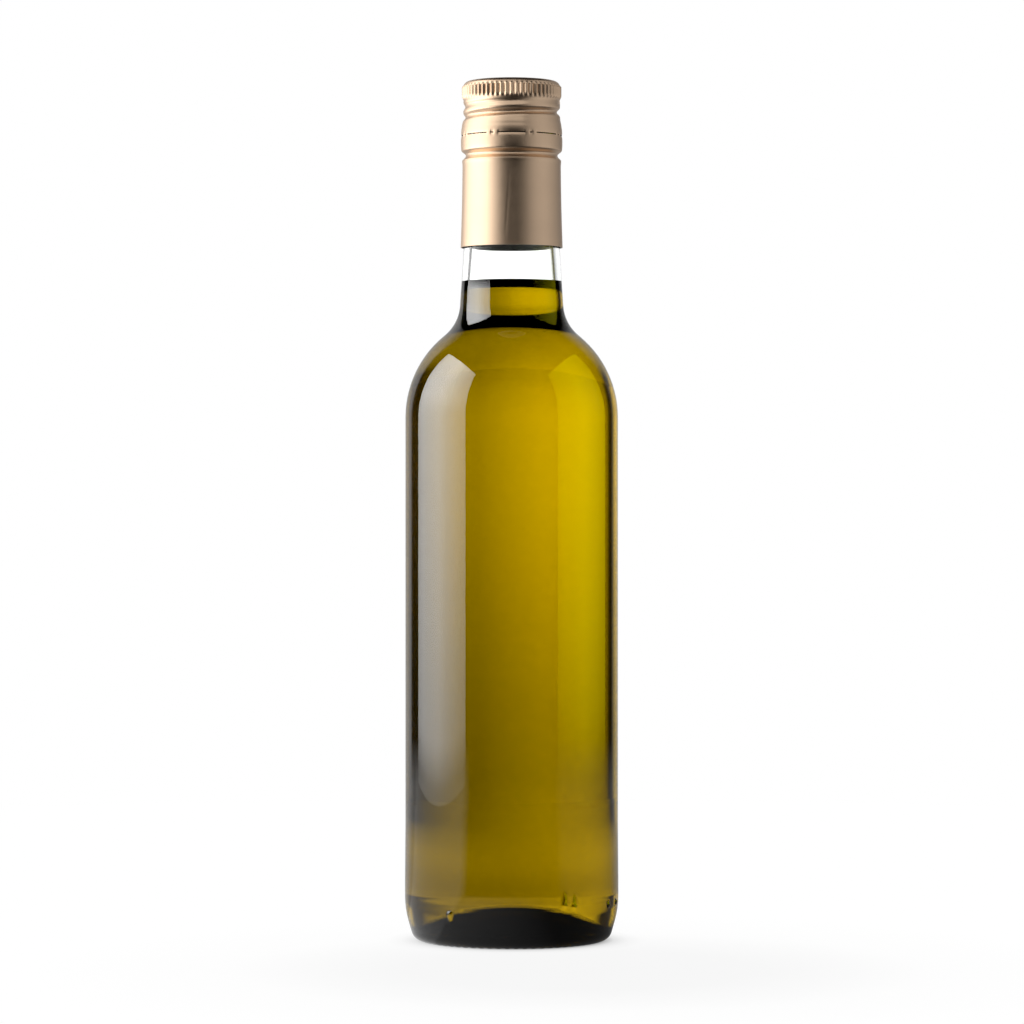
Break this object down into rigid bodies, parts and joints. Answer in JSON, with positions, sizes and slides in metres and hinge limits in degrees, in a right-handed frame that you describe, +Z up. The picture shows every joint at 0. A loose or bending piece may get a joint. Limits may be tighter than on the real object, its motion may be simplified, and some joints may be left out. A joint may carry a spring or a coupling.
{
  "type": "olive oil bottle",
  "caption": "Round glass bottle with a tapered neck and a domed base, filled with olive oil and closed by a long metal screw cap.",
  "frame": {"origin": "middle of the base, on the plane that the bottle stands on", "axes": "+Z up along the bottle's axis; the bottle is round, so X and Y are alike, and -Y is taken as its front"},
  "size_m": [0.0661, 0.066, 0.2642],
  "materials": {
    "glass": "clear, smooth moulded bottle glass",
    "oil": "clear golden green olive oil",
    "cap_metal": "satin pale gold anodised sheet"
  },
  "bodies": {
    "root": {"bottle": "glass", "oil": "oil", "cap": "cap_metal"}
  },
  "joints": []
}
